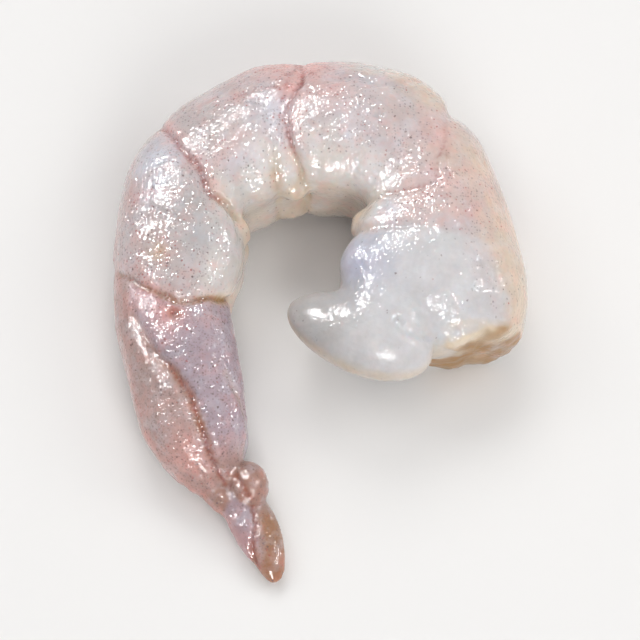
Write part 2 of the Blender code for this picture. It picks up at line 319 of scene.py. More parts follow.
@dataclass
class Curl:
    """The body's sweep: its course, width and depth, and its body coordinates."""

    sag: float = 0.35  # how far the soft flank settles flat onto what it lies on
    belly_fullness: float = 2.5  # above 2 the belly half of a ring is squarer than an ellipse
    trough_depth: float = 1.1  # the furrow between the left and right muscles, along the belly
    trough_half_angle: float = 24.0
    table: np.ndarray = field(default_factory=lambda: np.array(STATIONS))
    marks: np.ndarray = field(init=False)

    def __post_init__(self) -> None:
        """Measures the stations' places along the body, and moves them to the row frame."""
        self.table = self.table - np.array((*MIDDLE_OF_BOX, *MIDDLE_OF_BOX, 0.0))
        middle = (self.table[:, 0:2] + self.table[:, 2:4]) / 2
        steps = np.linalg.norm(np.diff(middle, axis=0), axis=1)
        self.marks = np.concatenate([[0.0], np.cumsum(steps)])

    @property
    def length(self) -> float:
        """Millimetres from the cut end to the tail's end."""
        return float(self.marks[-1])

    def section(self, along: np.ndarray) -> np.ndarray:
        """Reads the stations' smooth curve.

        Args:
            along: Millimetres along the body.

        Returns:
            Rows of the stations' five numbers there.
        """
        slopes = np.gradient(self.table, self.marks, axis=0)
        last = len(self.table) - 2
        left = np.clip(np.searchsorted(self.marks, along, side="right") - 1, 0, last)
        gap = (self.marks[left + 1] - self.marks[left])[:, None]
        share = ((along - self.marks[left])[:, None] / gap).clip(0, 1)
        start = (2 * share**3 - 3 * share**2 + 1) * self.table[left]
        start_slope = (share**3 - 2 * share**2 + share) * gap * slopes[left]
        end = (3 * share**2 - 2 * share**3) * self.table[left + 1]
        end_slope = (share**3 - share**2) * gap * slopes[left + 1]
        return start + start_slope + end + end_slope

    def core(self, along: np.ndarray) -> tuple[np.ndarray, ...]:
        """Measures the sweep's rings.

        Args:
            along: Millimetres along the body.

        Returns:
            Each ring's middle (x, y), from there to its back (x, y), and half its width.
        """
        back_x, back_y, belly_x, belly_y, width = self.section(np.clip(along, 0, self.length)).T
        middle_x, middle_y = (back_x + belly_x) / 2, (back_y + belly_y) / 2
        return middle_x, middle_y, (back_x - belly_x) / 2, (back_y - belly_y) / 2, width

    def lip(self, along: np.ndarray, degrees: np.ndarray) -> np.ndarray:
        """Height of the back's bulge on both sides of the first crease: it ends in a small step.

        Args:
            along: Millimetres along the body.
            degrees: Degrees from the back, 0 to 180.

        Returns:
            Millimetres.
        """
        past = along - CREASES[1].place(degrees)
        before = 0.55 * mound(past, 3.2)
        after = (0.55 + 0.95 * ramp(past, 0.0, 1.1)) * mound(np.maximum(past - 1.2, 0), 4.0)
        return np.where(past < 0, before, after) * (1 - ramp(degrees, 24, 66))

    def relief(self, along: np.ndarray, degrees: np.ndarray) -> np.ndarray:
        """How far the skin stands out from the plain sweep: wide creases and the belly trough."""
        height = sum(crease.relief(along, degrees) for crease in CREASES) + self.lip(along, degrees)
        return height - self.trough_depth * mound(180 - degrees, self.trough_half_angle)

    def skin(self, along: np.ndarray, degrees: np.ndarray, size: float = 1.0) -> np.ndarray:
        """Points of the skin.

        Args:
            along: Millimetres along the body.
            degrees: Degrees round the body, 0 to 360.
            size: The ring's share of its full size.

        Returns:
            Points in the row frame, in millimetres.
        """
        along = np.asarray(along, float)
        angle = np.radians(degrees)
        middle_x, middle_y, half_x, half_y, width = self.core(along)
        power = np.where(np.cos(angle) < 0, 2 / self.belly_fullness, 1.0)
        out, up = bent(np.cos(angle), power), bent(np.sin(angle), power)
        radius = np.hypot(np.hypot(half_x, half_y) * out, width * up)
        grow = size * (1 + self.relief(along, from_the_back(degrees)) / radius)
        x = middle_x + half_x * out * grow
        y = middle_y + half_y * out * grow
        z = width - self.sag + width * up * grow
        beyond = np.minimum(along, 0) / np.hypot(half_x, half_y)
        return np.stack([x - half_y * beyond, y + half_x * beyond, z], axis=1)

    def locate(self, points: np.ndarray) -> tuple[np.ndarray, np.ndarray]:
        """Finds the body coordinates of points near the body.

        Args:
            points: Places in the row frame, in millimetres.

        Returns:
            Millimetres along the body, and degrees round it, 0 to 360.
        """
        step = 0.25  # millimetres between the places that are tried
        batch = 8000  # points that are set against all of them at once
        spots = np.arange(0, self.length + step, step)
        table = self.section(spots)
        middle = (table[:, 0:2] + table[:, 2:4]) / 2
        out = (table[:, 0:2] - table[:, 2:4]) / 2
        half = np.linalg.norm(out, axis=1)
        out = out / half[:, None]
        ahead = np.stack([-out[:, 1], out[:, 0]], axis=1)
        along = np.empty(len(points))
        for first in range(0, len(points), batch):
            part = slice(first, first + batch)
            offset = points[part, None, 0:2] - middle[None]
            past = (offset * ahead[None]).sum(2)
            outward = (offset * out[None]).sum(2)
            stray = np.maximum(np.abs(outward) - 1.1 * half, 0)
            best = np.argmin(np.abs(past) + 0.8 * stray, axis=1)
            best = np.clip(best, 1, len(spots) - 2)
            row = np.arange(len(best))
            rate = (past[row, best - 1] - past[row, best + 1]) / 2
            shift = past[row, best] / np.where(np.abs(rate) < 0.02, 0.02, rate)
            along[part] = spots[best] + np.clip(shift, -1, 1) * step
        middle_x, middle_y, half_x, half_y, width = self.core(along)
        depth = np.hypot(half_x, half_y)
        outward = ((points[:, 0] - middle_x) * half_x + (points[:, 1] - middle_y) * half_y) / depth**2
        upward = (points[:, 2] - width + self.sag) / width
        power = np.where(outward < 0, self.belly_fullness / 2, 1.0)
        return along, np.degrees(np.arctan2(bent(upward, power), bent(outward, power))) % 360

    def course(self, places: tuple[tuple[float, ...], ...], flank: Flank = Flank.UPPER) -> np.ndarray:
        """A line as close points.

        Args:
            places: What it passes: (millimetres along, degrees) on the skin, or the sweep's x, y, z.
            flank: Which flank the line on the skin is on.

        Returns:
            Points in the row frame, in millimetres.
        """
        marks = np.arange(len(places))
        fine = np.linspace(0, len(places) - 1, 40 * (len(places) - 1) + 1)
        spread = np.stack([np.interp(fine, marks, column) for column in zip(*places)], axis=1)
        if spread.shape[1] == 3:
            return spread - np.array((*MIDDLE_OF_BOX, 0.0))
        turned = 360 - spread[:, 1] if flank is Flank.LOWER else spread[:, 1]
        return self.skin(spread[:, 0], turned)


@dataclass
class Skin:
    """The fused skin while it is worked: its mesh, and its points as arrays."""

    mesh: bpy.types.Mesh
    curl: Curl
    points: np.ndarray = field(init=False)
    normals: np.ndarray = field(init=False)
    along: np.ndarray = field(init=False)
    round: np.ndarray = field(init=False)
    tree: KDTree = field(init=False)

    def __post_init__(self) -> None:
        """Reads the mesh, and finds each point's body coordinates."""
        self.read()
        self.along, self.round = self.curl.locate(self.points)
        self.tree = KDTree(len(self.points))
        for index, point in enumerate(self.points.tolist()):
            self.tree.insert(point, index)
        self.tree.balance()

    def read(self) -> None:
        """Reads points and normals from the mesh, in millimetres."""
        count = len(self.mesh.vertices)
        points = np.empty(count * 3)
        self.mesh.vertices.foreach_get("co", points)
        self.points = points.reshape(-1, 3) / MM
        normals = np.empty(count * 3)
        self.mesh.vertex_normals.foreach_get("vector", normals)
        self.normals = normals.reshape(-1, 3)

    def push(self, height: np.ndarray) -> None:
        """Moves every point out along its normal by its height, and no lower than the table.

        Args:
            height: Each point's height, in millimetres.
        """
        self.points = self.points + self.normals * height[:, None]
        self.points[:, 2] = np.maximum(self.points[:, 2], 0.0)
        self.mesh.vertices.foreach_set("co", (self.points * MM).ravel())
        self.mesh.update()
        self.read()

    @property
    def from_back(self) -> np.ndarray:
        """Degrees from the back, 0 to 180, on either flank."""
        return from_the_back(self.round)

    @property
    def straight(self) -> np.ndarray:
        """The points with the body pulled straight, for patterns that follow the flesh."""
        angle = np.radians(self.round)
        return np.stack([self.along, BODY_RADIUS * np.cos(angle), BODY_RADIUS * np.sin(angle)], axis=1)

    def spot(self, along: float, degrees: float) -> np.ndarray:
        """Each point's distance from a place on the skin."""
        centre = self.curl.skin(np.array([along]), np.array([degrees]))[0]
        return np.linalg.norm(self.points - centre, axis=1)

    def line_distance(self, course: np.ndarray, reach: float) -> tuple[np.ndarray, np.ndarray]:
        """Distances to a line that is laid on the skin.

        Args:
            course: The line's points, near the skin.
            reach: How far from it distances matter.

        Returns:
            Each point's distance, FAR beyond reach, and its share of the way along the line.
        """
        laid = [self.tree.find(point)[0] for point in course.tolist()]
        distance = np.full(len(self.points), FAR)
        share = np.zeros(len(self.points))
        for index, place in enumerate(laid):
            for _, near, gap in self.tree.find_range(place, reach):
                if gap < distance[near]:
                    distance[near] = gap
                    share[near] = index / (len(laid) - 1)
        return distance, share


@dataclass
class PrawnFlesh:
    """The whole prawn: one piece of raw flesh."""

    curl: Curl = field(default_factory=Curl)
    around: int = 96
    rings_a_segment: int = 26
    cut_slant: float = 0.10  # the cut face leans back towards its lower edge by this slope
    cut_shoulder: float = 0.9  # how much further the cut end reaches on its upper belly side
    cut_rounding: float = 0.9
    tail_rounding: float = 1.6
    voxel: float = 0.275
    flaps: tuple[Lobe, ...] = (
        Lobe("upper flap", (6.2, -5.6, 9.5), (9.3, 4.0, 3.6), (10, -6, -24), -0.35),
        Lobe("flap root", (9.8, -3.2, 9.2), (6.4, 5.6, 5.6), (0, 0, -24)),
        Lobe("lower flap", (6.9, -4.0, 4.2), (7.8, 4.0, 3.5), (0, 4, -26), 0.05),
        Lobe("shoulder", (14.6, -4.6, 8.4), (4.2, 3.2, 4.4), (0, 0, 12)),
    )
    tail_lobes: tuple[Lobe, ...] = (
        Lobe("knob", (-6.75, -22.3, 3.5), (2.9, 2.3, 2.3), (0, 0, -80)),
        Lobe("tail tip fold", (-9.9, -24.0, 2.5), (2.9, 1.5, 1.7), (0, 0, -38)),
        Lobe("left blade", (-7.0, -27.2, 2.2), (5.5, 2.1, 1.9), (0, 7, -65), 0.1),
        Lobe("right blade", (-4.9, -28.6, 1.75), (5.6, 2.2, 1.65), (0, 5, -76), 0.0),
    )
    stumps: tuple[Stump, ...] = (
        Stump(58.6, 162.0, (2.1, 1.7, 1.5)),
        Stump(58.6, 198.0, (2.0, 1.5, 1.4)),
        Stump(40.6, 162.0, (2.1, 1.7, 1.6)),
        Stump(40.6, 198.0, (2.0, 1.5, 1.4)),
        Stump(16.6, 160.0, (2.0, 1.4, 1.5)),
        Stump(16.6, 200.0, (1.9, 1.3, 1.4)),
    )

    def placed(self, lobes: tuple[Lobe, ...]) -> list[Lobe]:
        """The lobes moved from the sweep's own x and y to the row frame.

        Args:
            lobes: Lumps, placed in the sweep's x and y.

        Returns:
            The same lumps, placed in the row frame.
        """
        x, y = MIDDLE_OF_BOX
        return [
            Lobe(b.name, (b.centre[0] - x, b.centre[1] - y, b.centre[2]), b.radii, b.turn, b.taper)
            for b in lobes
        ]

    def stump_lobe(self, stump: Stump) -> Lobe:
        """The lump of a leg stump, half sunk into the skin.

        Args:
            stump: Where the leg was, and its size.

        Returns:
            The lump.
        """
        places = np.array([stump.along - 0.5, stump.along, stump.along + 0.5])
        turned = np.full(3, stump.degrees)
        points = self.curl.skin(places, turned)
        inward = self.curl.skin(places, turned, 0.8)[1] - points[1]
        centre = points[1] + inward / np.linalg.norm(inward) * stump.sunk
        heading = math.degrees(math.atan2(*(points[2] - points[0])[1::-1]))
        return Lobe("leg stump", tuple(centre), stump.radii, (0, 0, heading))

    def stump_lobes(self) -> list[Lobe]:
        """The lumps of all leg stumps."""
        return [self.stump_lobe(stump) for stump in self.stumps]

    def rings(self) -> list[np.ndarray]:
        """The rings of the body's tube, head end first.

        Returns:
            Each ring's points, in millimetres.
        """
        degrees = np.linspace(0, 360, self.around, endpoint=False)
        width = self.curl.section(np.zeros(1))[0, 4]
        ragged = 0.12 * np.sin(np.radians(degrees * 3 + 40)) + 0.05 * np.sin(np.radians(degrees * 7))
        lean = self.cut_slant * width * (1 - np.sin(np.radians(degrees))) + ragged
        lean = lean - self.cut_shoulder * mound(degrees - 130, 38)
        rings = [self.curl.skin(lean * size, degrees, size) for size in (0.1, 0.3, 0.5, 0.7, 0.88)]
        rings.append(self.curl.skin(lean + 0.3 * self.cut_rounding, degrees, 0.97))
        edges = [lean + self.cut_rounding]
        edges += [crease.place(from_the_back(degrees)) for crease in CREASES]
        edges.append(np.full(self.around, self.curl.length - self.tail_rounding))
        for before, after in zip(edges, edges[1:]):
            for share in np.linspace(0, 1, self.rings_a_segment, endpoint=False):
                rings.append(self.curl.skin(before + (after - before) * share, degrees))
        for turn in (0, 20, 40, 60, 75, 85):
            place = edges[-1] + self.tail_rounding * math.sin(math.radians(turn))
            rings.append(self.curl.skin(place, degrees, math.cos(math.radians(turn))))
        return rings

    def sweep(self, shape: bmesh.types.BMesh) -> None:
        """Sweeps a circle through the rings by extruding its edge, and closes both ends.

        Args:
            shape: The mesh that gains the tube.
        """
        rings = self.rings()
        ring = bmesh.ops.create_circle(shape, segments=self.around, radius=1.0)["verts"]
        edges = list({edge for vert in ring for edge in vert.link_edges})
        bmesh.ops.contextual_create(shape, geom=edges)
        for vert, point in zip(ring, rings[0]):
            vert.co = point
        for points in rings[1:]:
            place = {vert: point for vert, point in zip(ring, points)}
            made = bmesh.ops.extrude_edge_only(shape, edges=edges)["geom"]
            edges = [item for item in made if isinstance(item, bmesh.types.BMEdge)]
            following = {}
            for vert in (item for item in made if isinstance(item, bmesh.types.BMVert)):
                before = next(e.other_vert(vert) for e in vert.link_edges if e.other_vert(vert) in place)
                vert.co = place[before]
                following[before] = vert
            ring = [following[vert] for vert in ring]
        bmesh.ops.contextual_create(shape, geom=edges)

    def forms(self) -> bpy.types.Object:
        """The closed forms, still separate, in one object.

        Returns:
            An object that holds the tube and all lumps.
        """
        shape = bmesh.new()
        self.sweep(shape)
        for lobe in self.placed(self.flaps + self.tail_lobes) + self.stump_lobes():
            lobe.mould(shape)
        bmesh.ops.recalc_face_normals(shape, faces=shape.faces)
        bmesh.ops.scale(shape, vec=(MM, MM, MM), verts=shape.verts)
        mesh = bpy.data.meshes.new("forms")
        shape.to_mesh(mesh)
        shape.free()
        return put("forms", mesh)

    def fuse(self) -> bpy.types.Mesh:
        """One closed skin round all the forms, settled flat on the table.

        Returns:
            The skin's mesh.
        """
        forms = self.forms()
        remesh = forms.modifiers.new("fuse", "REMESH")
        remesh.mode = "VOXEL"
        remesh.voxel_size = self.voxel * MM
        fused = bpy.data.meshes.new_from_object(
            forms.evaluated_get(bpy.context.evaluated_depsgraph_get())
        )
        bpy.data.objects.remove(forms)
        return fused

    def soften(self, mesh: bpy.types.Mesh) -> None:
        """Smooths the fused skin: a little all over, more where a flap grows out of the neck.

        Args:
            mesh: The fused skin.
        """
        shape = bmesh.new()
        shape.from_mesh(mesh)
        points = np.array([vert.co for vert in shape.verts]) / MM
        everywhere = np.full(len(points), True)
        root = depth_in(self.placed(self.flaps[1::2]), points) < 1.3
        root &= (points[:, 2] > 5.0) & (points[:, 1] > -5.5)
        fan = depth_in(self.placed(self.tail_lobes[1:]), points) < 1.2
        worn = depth_in(self.stump_lobes(), points) < 1.5
        for chosen, rounds in ((everywhere, 8), (root, 90), (fan, 8), (worn, 10)):
            verts = [vert for vert, taken in zip(shape.verts, chosen) if taken]
            for _ in range(rounds):
                bmesh.ops.smooth_vert(
                    shape, verts=verts, factor=0.5, use_axis_x=True, use_axis_y=True, use_axis_z=True
                )
        shape.to_mesh(mesh)
        shape.free()

    def work_flesh(self, skin: Skin) -> None:
        """Uneven swelling of the muscles, and the fibres that run along them.

        Args:
            skin: The skin that is worked.
        """
        straight = skin.straight
        calm = (1 - 0.5 * self.flap_share(skin)) * (1 - 0.8 * self.tail_share(skin))
        height = 0.16 * grain(straight, (5.5, 4.0, 4.0), 1) * calm
        height += 0.05 * grain(straight, (2.4, 1.6, 1.6), 2) * calm
        skin.push(height)

    def flap_share(self, skin: Skin) -> np.ndarray:
        """1 on the flaps, 0 elsewhere."""
        share = 1 - ramp(depth_in(self.placed(self.flaps), skin.points), 1.02, 1.12)
        return share * ramp(4.0 - skin.points[:, 1], 0.0, 3.0)

    def tail_share(self, skin: Skin) -> np.ndarray:
        """1 on the knob and the blades, 0 elsewhere."""
        return 1 - ramp(depth_in(self.placed(self.tail_lobes), skin.points), 1.03, 1.2)

    def press_creases(self, skin: Skin) -> dict[str, np.ndarray]:
        """Presses the sharp line at the bottom of each crease.

        Args:
            skin: The skin that is worked.

        Returns:
            Each crease's distances, for its colour.
        """
        found = {}
        height = np.zeros(len(skin.points))
        for number, crease in enumerate(CREASES):
            degrees = np.concatenate([np.arange(0, 181, 2.0), np.arange(182, 360, 2.0)])
            wander = 0.1 * np.sin(np.radians(degrees * 9 + number * 50))
            course = skin.curl.skin(crease.place(from_the_back(degrees)) + wander, degrees)
            distance, _ = skin.line_distance(course, 2.6)
            shown = ramp(skin.from_back, crease.cut_from - 8, crease.cut_from + 8)
            height -= crease.cut_depth * shown * mound(distance, 0.36)
            found[crease.name] = distance
        skin.push(height)
        return found

    def press_furrows(self, skin: Skin) -> dict[str, np.ndarray]:
        """Presses the furrows and raises the ridges.

        Args:
            skin: The skin that is worked.

        Returns:
            Each furrow's and vessel's distances, for its colour.
        """
        found = {}
        height = np.zeros(len(skin.points))
        for furrow in FURROWS + VESSELS:
            for flank in furrow.flanks:
                course = skin.curl.course(furrow.places, flank)
                distance, share = skin.line_distance(course, 2.2)
                fade = ramp(share, 0.0, 0.18) * ramp(1 - share, 0.0, 0.18)
                height -= furrow.depth * fade * mound(distance, furrow.half_width)
                distance = np.where(fade > 0.02, distance, FAR)
                found[furrow.name] = np.minimum(distance, found.get(furrow.name, distance))
        skin.push(height)
        return found

    def pit(self, skin: Skin) -> None:
        """Pits: in each leg stump, at the tail's root, and where the flank is pinched.

        Args:
            skin: The skin that is worked.
        """
        height = np.zeros(len(skin.points))
        for stump in self.stumps:
            lobe = self.stump_lobe(stump)
            out = np.array(lobe.centre) - skin.curl.skin(
                np.array([stump.along]), np.array([stump.degrees]), 0.5
            )[0]
            tip = np.array(lobe.centre) + out / np.linalg.norm(out) * lobe.radii[1]
            height -= 0.16 * mound(np.linalg.norm(skin.points - tip, axis=1), 0.5)
        for along, degrees, depth, radius, ring in PITS:
            distance = skin.spot(along, degrees)
            height -= depth * mound(distance, radius)
            height += ring * mound(distance - 2 * radius, radius)
        skin.push(height)

    def work_cut_face(self, skin: Skin) -> np.ndarray:
        """Raises two mounds of muscle and torn fibres on the cut face.

        Args:
            skin: The skin that is worked.

        Returns:
            1 on the cut face, 0 elsewhere.
        """
        ahead = self.curl.section(np.array([0.0, 1.0]))
        start = (ahead[0, 0:2] + ahead[0, 2:4]) / 2
        heading = Vector((*((ahead[0, 0:2] - ahead[0, 2:4])), 0.0)).normalized()
        across = np.array(heading)
        offset = (skin.points[:, 0:2] - start) @ across[0:2]
        facing = -(skin.normals @ np.array((-across[1], across[0], 0.0)))
        face = ramp(facing, 0.55, 0.9) * ramp(1.9 - skin.along, 0.0, 0.6) * (1 - self.flap_share(skin))
        fibres = grain(skin.points, (0.9, 0.9, 1.3), 11)
        mounds = mound(offset - 2.7, 2.2) + 0.8 * mound(offset + 2.4, 1.9)
        skin.push(face * (0.55 * mounds + 0.08 * fibres - 0.2))
        return face

    def wrinkle(self, skin: Skin, crinkle: np.ndarray) -> None:
        """Fine wrinkles of the wet film, and the crumpled flesh at the tail's end.

        Args:
            skin: The skin that is worked.
            crinkle: How crumpled the film is at each point.
        """
        straight = skin.straight
        fine = grain(straight, (1.6, 0.7, 0.7), 21) + 0.8 * grain(skin.points, 0.7, 22)
        height = 0.06 * crinkle * fine
        tail = np.maximum(ramp(skin.along, 85.5, 89.5), self.tail_share(skin))
        tail *= 1 - 0.65 * self.tail_share(skin)
        height += tail * 0.11 * grain(skin.points, (1.3, 1.7, 1.3), 23)
        height += tail * 0.05 * grain(skin.points, 0.7, 24)
        skin.push(height)

    def build(self) -> bpy.types.Object:
        """Models, works and paints the flesh.

        Returns:
            The finished piece, without its material.
        """
        mesh = self.fuse()
        self.soften(mesh)
        skin = Skin(mesh, self.curl)
        self.work_flesh(skin)
        creases = self.press_creases(skin)
        furrows = self.press_furrows(skin)
        self.pit(skin)
        face = self.work_cut_face(skin)
        tones = Tones(self, skin, creases, furrows, face)
        self.wrinkle(skin, tones.crinkle())
        tones.paint()
        mesh.name = "prawn_flesh"
        mesh.shade_smooth()
        return put("prawn_flesh", mesh)

    def dress(self, piece: bpy.types.Object) -> None:
        """Gives the piece its finish, and says what it is to the frame.

        Args:
            piece: The finished flesh.
        """
        piece.data.materials.clear()
        piece.data.materials.append(WetRawFlesh().material())
        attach(piece, "root")
        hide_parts("prawn")


HAZE = np.array((5.2, 3.6, 12.8))  # the middle of the lavender patch, in the row frame

TAIL_PIT = (72.7, 87.0)  # the deep pit at the tail's root: millimetres along, degrees

# Dimples that show on the upper flank: millimetres along, degrees from the back, depth, radius,
# and the height of the ring round it.
PITS = (
    (*TAIL_PIT, 0.7, 0.5, 0.0),
    (30.5, 86.0, 0.3, 0.5, 0.12),
    (38.6, 100.0, 0.2, 0.5, 0.04),
    (56.0, 62.0, 0.25, 0.5, 0.06),
    (61.4, 72.0, 0.16, 0.6, 0.04),
)


@dataclass
class Tones:
    """Where each tone of the flesh lies. The finish mixes its colours by these."""

    flesh: PrawnFlesh
    skin: Skin
    creases: dict[str, np.ndarray]
    furrows: dict[str, np.ndarray]
    face: np.ndarray

    def __post_init__(self) -> None:
        """Measures what several tones share."""
        self.along = self.skin.along
        self.degrees = self.skin.from_back
        self.flap = self.flesh.flap_share(self.skin)
        self.fan = self.flesh.tail_share(self.skin)
        self.blotch = grain(self.skin.points, 2.6, 31)
        self.neck_end = CREASES[0].place(self.degrees)
        self.tail_start = CREASES[-1].place(self.degrees)
        self.in_tail = ramp(self.along - self.tail_start, -0.3, 0.6)
        at, line = zip(*TAIL_FURROW.places)
        self.tail_line = np.interp(self.along, at, line)

    def patch(self, along: float, degrees: float, radius: float) -> np.ndarray:
        """A soft patch round a place on the upper flank, with an uneven edge."""
        return mound(self.skin.spot(along, degrees) * (1 + 0.35 * self.blotch), radius)

    def patches(self, rows: tuple[tuple[float, float, float, float], ...]) -> np.ndarray:
        """The strongest of several soft patches.

        Args:
            rows: Each patch's millimetres along, degrees from the back, radius and strength.

        Returns:
            Each point's share.
        """
        return np.max([row[3] * self.patch(*row[0:3]) for row in rows], axis=0)

    def lines(self, rows: tuple[tuple[str, float, float], ...]) -> np.ndarray:
        """The strongest of several furrows' lines.

        Args:
            rows: Each furrow's name, the line's strength and its half width.

        Returns:
            Each point's share.
        """
        return np.max([row[1] * mound(self.furrows[row[0]], row[2]) for row in rows], axis=0)

    def on_lobe(self, name: str) -> np.ndarray:
        """1 on one lump of the tail fan, 0 elsewhere."""
        lobe = next(b for b in self.flesh.placed(self.flesh.tail_lobes) if b.name == name)
        return 1 - ramp(lobe.depth(self.skin.points), 1.02, 1.15)

    def milky(self) -> np.ndarray:
        """The smooth white neck and the flaps.

        Returns:
            Each point's share of the tone.
        """
        edge = np.interp(self.along, (0, 5.8, 9.8, 12.5, 13.8), (46, 44, 51, 62, 86))
        neck = ramp(self.degrees + 7 * self.blotch, edge - 14, edge + 24)
        neck = neck * ramp(self.neck_end - self.along + 0.4 * self.blotch, -1.0, 1.6)
        return np.maximum(neck, self.flap)

    def haze(self) -> np.ndarray:
        """The lavender of the thickest flesh, where the flap grows out of the neck."""
        return 0.75 * mound(np.linalg.norm(self.skin.points - HAZE, axis=1), 4.0) * self.milky()

    def peach(self) -> np.ndarray:
        """The warm cream of the back, near the head end.

        Returns:
            Each point's share of the tone.
        """
        band = ramp(66 - self.degrees + 8 * self.blotch, 0, 26) * ramp(24 - self.along, 0, 8)
        glow = self.patches(((21.4, 42, 5.0, 0.9), (28, 40, 4.0, 0.5)))
        lower = 0.45 * ramp(24 - self.along, 0, 8) * ramp(self.skin.round, 200, 260)
        lip = 0.8 * ramp(52 - self.degrees + 6 * self.blotch, 0, 10) * ramp(self.along, 25.5, 27)
        lip = lip * ramp(37.5 - self.along, 0, 4) * ramp(self.degrees, 4, 20)
        return np.clip(strongest(band, glow, lower, lip), 0, 1) * (1 - self.milky())

    def rose(self) -> np.ndarray:
        """The pink flush, strongest on the back and along the creases.

        Returns:
            Each point's share of the tone.
        """
        first = ramp(self.along - self.neck_end, 0, 1.5) * ramp(24 - self.along, -2, 4)
        flush = 0.15 * first * ramp(130 - self.degrees, 0, 30)
        flush = np.maximum(flush, self.patches((
            (39.5, 38, 4.4, 0.85), (40.5, 16, 5.5, 0.85), (40.2, 70, 2.6, 0.5), (36.6, 74, 2.2, 0.35),
            (20.3, 80, 2.6, 0.25), (16.0, 74, 2.2, 0.22), (65.7, 70, 3.4, 0.4), (69.3, 46, 3.6, 0.5),
            (50.0, 95, 2.2, 0.35), (72.5, 80, 2.5, 0.5), (25.0, 62, 2.6, 0.4), (60.0, 40, 3.0, 0.35),
            (89.0, 60, 3.0, 0.5), (46.0, 61, 1.6, 0.3),
        )))
        for crease in CREASES:
            near = mound(self.creases[crease.name], 1.2) * (1 - ramp(self.degrees, 105, 140))
            flush = np.maximum(flush, 0.4 * crease.blood * near)
        back = 0.3 * ramp(34 - self.degrees, 0, 20) * ramp(self.along, 27, 32)
        return np.clip(np.maximum(flush, back) * (1 + 0.45 * self.blotch), 0, 1)

    def blood(self) -> np.ndarray:
        """Thin red lines, in the creases and where vessels show through, and painted shade: the shadow
        line in the tail furrow and the fan's creases; the pit at the tail's root is dark red, partly
        painted shade.

        Returns:
            Each point's share of the tone.
        """
        shown = 0.5 * ramp(self.degrees, 14, 30) + 0.5 * ramp(self.degrees, 46, 66)
        shown = shown * (1 - ramp(self.degrees, 112, 140))
        shown = shown * (0.95 + 0.5 * grain(self.skin.points, 1.6, 41))
        creases = [c.blood * shown * mound(self.creases[c.name], 0.26) for c in CREASES]
        # Painted shade: the shadow line in the tail furrow, strongest low down, the pit at the tail's root
        # and the fan's creases.
        late = 0.25 + 0.75 * ramp(self.along, 76, 81)
        broken = 0.6 + 0.3 * grain(self.skin.points, 1.4, 43)
        tail = 1.3 * late * broken * mound(self.furrows["tail furrow"], 0.3)
        pit = 1.3 * mound(self.skin.spot(72.6, 87.0), 0.65)
        fan = self.lines((("knob crease", 0.6, 0.32), ("blade crease", 0.7, 0.3)))
        vessels = self.lines(tuple(
            (vessel.name, 0.5 if vessel.name == "seam vessel" else 1.0, vessel.half_width)
            for vessel in VESSELS
        ))
        vessels = vessels * (0.4 + 0.5 * grain(self.skin.points, 1.1, 42))
        return np.clip(strongest(*creases, tail, pit, fan, vessels), 0, 1)

    def violet(self) -> np.ndarray:
        """The cool mauve of the tail's belly half, and of the blade's left lobe.

        Returns:
            Each point's share of the tone.
        """
        tail = self.in_tail * ramp(self.degrees - self.tail_line, -1, 6) * ramp(92 - self.along, 0, 5)
        return np.clip(np.maximum(tail * (1 - self.fan), 0.9 * self.on_lobe("left blade")), 0, 1)

    def rust(self) -> np.ndarray:
        """The brownish pink of the tail's back half, its end and the knob.

        Returns:
            Each point's share of the tone.
        """
        half = self.in_tail * ramp(self.tail_line - self.degrees, -4, 4)
        end = ramp(self.along + self.blotch, 87.0, 91.0)
        return np.clip(strongest(0.65 * half, 0.85 * end, self.fan), 0, 1)

    def olive_lit(self) -> np.ndarray:
        """The greenish grey of the flanks' lower half, towards the belly, painted lighter than the flesh's
        own tone as painted light on that shaded side.
        """
        low = ramp(self.degrees + 10 * self.blotch, 92, 128) * (1 - self.in_tail)
        return 0.9 * low * ramp(self.along - self.neck_end, 0, 2)

    def pale(self) -> np.ndarray:
        """Bluish white patches, most of them painted highlight: the sheen of the crinkled wet film where
        its glints cluster, and painted light on the back of the second segment, which the lamps leave dim.

        Returns:
            Each point's share of the tone.
        """
        return self.patches((
            (55.4, 56, 2.6, 1.0), (58.6, 60, 2.4, 0.8), (33.5, 40, 3.5, 0.35), (42.7, 86, 2.4, 0.7),
            (43.0, 105, 2.0, 0.4), (27.5, 122, 2.6, 0.3), (33.5, 95, 2.2, 0.3), (48.0, 110, 2.4, 0.35),
            (63.0, 104, 3.0, 0.15), (15.6, 118, 2.0, 0.6),
        ))

    def tan(self) -> np.ndarray:
        """Painted glow: warm light through thin flesh, painted on thin rims, the creases' lower ends, the
        belly edge and the leg stumps; the same tan also lies round two pits.

        Returns:
            Each point's share of the tone.
        """
        low = ramp(self.degrees, 100, 135)
        creases = [
            (0.25 if crease.name in ("neck", "first") else 0.65) * low
            * mound(self.creases[crease.name], 0.7)
            for crease in CREASES
        ]
        fifth = 0.4 * mound(self.creases["fifth"], 0.45) * ramp(self.degrees, 60, 100)
        lip = self.lines((("tail belly lip", 0.2, 0.4),))
        # Painted light: a warm glow on the belly edge, which lies in shade.
        edge = ramp(self.degrees + 6 * self.blotch, 136, 158) * ramp(self.along - self.neck_end, -0.5, 1)
        edge = 0.28 * edge * (1 - self.in_tail) * (1 - self.flap)
        legs = 0.5 * (1 - ramp(depth_in(self.flesh.stump_lobes(), self.skin.points), 1.0, 1.35))
        rim = 0.4 * self.flap * ramp(np.abs(self.skin.normals[:, 2]), 0.55, 0.1)
        pits = mound(self.skin.spot(65.7, 71.0), 1.1) + 0.7 * mound(self.skin.spot(*TAIL_PIT), 0.7)
        share = strongest(*creases, fifth, lip, edge, legs, rim, 0.6 * pits)
        return np.clip(share * (1 + 0.3 * self.blotch), 0, 1)

    def cut(self) -> np.ndarray:
        """The cream, half clear flesh of the cut face."""
        return np.clip(self.face * (1 + 0.25 * self.blotch), 0, 1)

